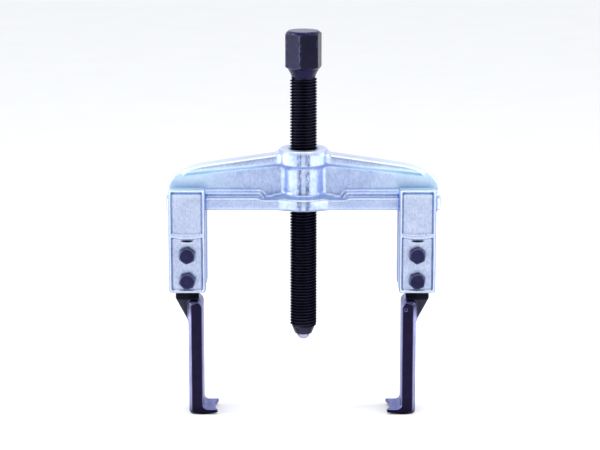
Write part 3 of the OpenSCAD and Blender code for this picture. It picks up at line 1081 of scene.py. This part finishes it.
def make_arm(side):
    outward = SIDES[side]
    centre = leg_centre(side)

    def field(x, y, z):
        return arm_field((x - centre) * outward, y, z, dimple=side == "right")

    node = f"{side}_hook_arm"
    piece = forged(f"{side}_hook_forging", field, node_box(node), ARM_STEP, ARM)
    stand_in(piece, node, f"{side}_leg")


def along_y(verts, x, z):
    """Turns a piece made along +Z so that it points to -Y, with its axis at (x, z)."""
    verts = np.asarray(verts)
    return np.stack([verts[:, 0] + x, -verts[:, 2], verts[:, 1] + z], axis=1)


def hexagon_end(turn):
    """Radius of an M6 hexagon at each segment, and how far its chamfer has dropped there."""
    hexagon = hex_radius(FASTENER_AF, 90 - turn, FASTENER_SEGMENTS)
    return hexagon, np.maximum(hexagon - FASTENER_FACE_R, 0) * CHAMFER_SLOPE


def fastener_place(node):
    """X and Z of a fastener's axis, and its rear and front ends as distances towards the front."""
    low, high = node_box(node)
    return (low[0] + high[0]) / 2, (low[2] + high[2]) / 2, -high[1], -low[1]


def make_bolt(side, level):
    node = f"{side}_{level}_bolt"
    x, z, tip, head_top = fastener_place(node)
    head_low = head_top - BOLT_HEAD_H
    hexagon, drop = hexagon_end(BOLT_TURN[side, level])
    profile = [
        (0.05, tip),
        (BOLT_R - 0.6, tip),
        (BOLT_R, tip + 0.6),
        (BOLT_R, head_low),
        (FASTENER_FACE_R - 0.15, head_low),
        (FASTENER_FACE_R - 0.05, head_low + 0.25),
        (hexagon, head_low + 0.3),
        (hexagon, head_top - 0.15 - drop),
        (FASTENER_FACE_R - 0.12, head_top),
        # Flat rings, which keep the top's shading even
        (3.4, head_top),
        (2.2, head_top),
        (1.0, head_top),
        (0.05, head_top),
    ]
    verts, faces = ring_mesh([turned(r, h, FASTENER_SEGMENTS) for r, h in profile])
    piece = add_object(f"{node}_M6", along_y(verts, x, z), faces, FASTENER)
    stand_in(finish_mesh(piece, sharp=25), node, f"{side}_leg")


def make_nut(side, level):
    node = f"{side}_{level}_nut"
    x, z, near, far = fastener_place(node)
    hexagon, drop = hexagon_end(3 * BOLT_TURN[side, level])
    profile = [
        (BOLT_R + 0.02, near + 0.6),
        (BOLT_R + 0.6, near),
        (FASTENER_FACE_R, near),
        (hexagon, near + 0.1 + drop),
        (hexagon, far - 0.1 - drop),
        (FASTENER_FACE_R, far),
        (BOLT_R + 0.6, far),
        (BOLT_R + 0.02, far - 0.6),
    ]
    # The last ring meets the first, round the hole
    rings = [turned(r, h, FASTENER_SEGMENTS) for r, h in [*profile, profile[0]]]
    verts, faces = ring_mesh(rings, cap_first=False, cap_last=False)
    piece = add_object(f"{node}_M6", along_y(verts, x, z), faces, FASTENER)
    stand_in(finish_mesh(piece, merge=0.002, sharp=25), node, f"{side}_leg")


def make_washer(side, level):
    """Split spring washer, whose ends stand apart a little."""
    node = f"{side}_{level}_washer"
    x, z, near, far = fastener_place(node)
    low, high = node_box(node)
    inner, outer = BOLT_R + WASHER_BORE_GAP, (high[2] - low[2]) / 2 - 0.05
    play = 0.03
    bottom, top = near + play, far - play - WASHER_RISE
    bevel = WASHER_BEVEL
    profile = [
        (inner, bottom + bevel),
        (inner + bevel, bottom),
        (outer - bevel, bottom),
        (outer, bottom + bevel),
        (outer, top - bevel),
        (outer - bevel, top),
        (inner + bevel, top),
        (inner, top - bevel),
    ]
    rings = []
    for share in np.arange(WASHER_STEPS + 1) / WASHER_STEPS:
        angle = math.radians(WASHER_GAP_DEGREES / 2 + (360 - WASHER_GAP_DEGREES) * share)
        rise = WASHER_RISE * share
        rings.append(np.array([(r * math.cos(angle), r * math.sin(angle), h + rise) for r, h in profile]))
    verts, faces = ring_mesh(rings)
    piece = add_object(f"{node}_split", along_y(verts, x, z), faces, FASTENER)
    stand_in(finish_mesh(piece, sharp=30), node, f"{side}_leg")


make_beam()
make_spindle()
make_ball()
for side in SIDES:
    make_end_stop(side)
    make_arm(side)
    for end in ("front", "rear"):
        make_cheek(side, end)
    for level in ("upper", "lower"):
        make_bolt(side, level)
        make_nut(side, level)
        make_washer(side, level)

# ---------- Floor, light and camera, in metres ----------

# The studio's walls, as (degrees away from the camera's side, brightness)
WALLS = [
    (0, 0.28),
    (18, 0.28),
    (21, 0.08),
    (25, 0.10),
    (29, 1.25),
    (72, 1.15),
    (84, 0.5),
    (100, 0.7),
    (130, 1.05),
    (180, 1.1),
]
CEILING = 1.05
SOFTBOX = (0.64, 0.4)
STRIP = (0.14, 0.4)
CAMERA_PLACE = (-0.0023, -1.437, 0.449)
CAMERA_PITCH = 12.55


def add_floor():
    half = 6.0
    mesh = bpy.data.meshes.new("studio_floor")
    corners = [(-half, -half, 0), (half, -half, 0), (half, half, 0), (-half, half, 0)]
    mesh.from_pydata(corners, [], [(0, 1, 2, 3)])
    mesh.materials.append(floor_paper())
    floor = bpy.data.objects.new("studio_floor", mesh)
    bpy.context.scene.collection.objects.link(floor)


def add_light(name, place, target, size, power):
    """A soft rectangular light, aimed at a target."""
    data = bpy.data.lights.new(name, "AREA")
    data.shape = "RECTANGLE"
    data.size, data.size_y = size
    data.energy = power
    lamp = bpy.data.objects.new(name, data)
    lamp.location = place
    direction = Vector(target) - Vector(place)
    lamp.rotation_euler = direction.to_track_quat("-Z", "Y").to_euler()
    bpy.context.scene.collection.objects.link(lamp)


def grey(value):
    """A slightly cool grey."""
    return value * 0.95, value * 0.97, value


def add_world():
    """A white studio with a dimmer gap, edged in black, behind the camera and bright walls beside it."""
    world = bpy.data.worlds.new("studio")
    world.use_nodes = True
    nodes = Nodes(world.node_tree, "Generated")
    depth = nodes.maths("MULTIPLY", nodes.part(nodes.coords, "Y"), -1.0)
    angle = nodes.maths("ARCTAN2", nodes.part(nodes.coords, "X"), depth)
    half_turns = nodes.maths("DIVIDE", nodes.maths("ABSOLUTE", angle), math.pi)
    walls = nodes.ramp(half_turns, [(degrees / 180, grey(level)) for degrees, level in WALLS])
    overhead = nodes.scaled(nodes.part(nodes.coords, "Z"), 0, 1, 0.5, 0.8, smooth=True)
    colour = nodes.mix(overhead, walls, grey(CEILING))
    nodes.link(colour, nodes.tree.nodes["Background"].inputs["Color"])
    bpy.context.scene.world = world


def add_camera():
    """In front of the object and a little above it, with a long lens."""
    data = bpy.data.cameras.new("camera")
    data.sensor_width = 36
    data.lens = 131.4
    camera = bpy.data.objects.new("camera", data)
    camera.location = CAMERA_PLACE
    camera.rotation_euler = (math.radians(90 - CAMERA_PITCH), 0, 0)
    bpy.context.scene.collection.objects.link(camera)
    bpy.context.scene.camera = camera


add_floor()
add_world()
add_light("top_softbox", (0, -0.3, 1.5), (0, 0, 0.13), (1.4, 1.0), 7)
add_light("left_softbox", (-0.51, -0.36, 0.2), (0, 0, 0.15), SOFTBOX, 1.2)
add_light("right_softbox", (0.51, -0.36, 0.2), (0, 0, 0.15), SOFTBOX, 1.5)
add_light("left_strip", (-0.52, -0.03, 0.2), (0, 0, 0.17), STRIP, 1.7)
add_light("right_strip", (0.52, 0.05, 0.2), (0, 0, 0.17), STRIP, 1.3)
add_camera()
bpy.context.scene.view_settings.view_transform = "Standard"
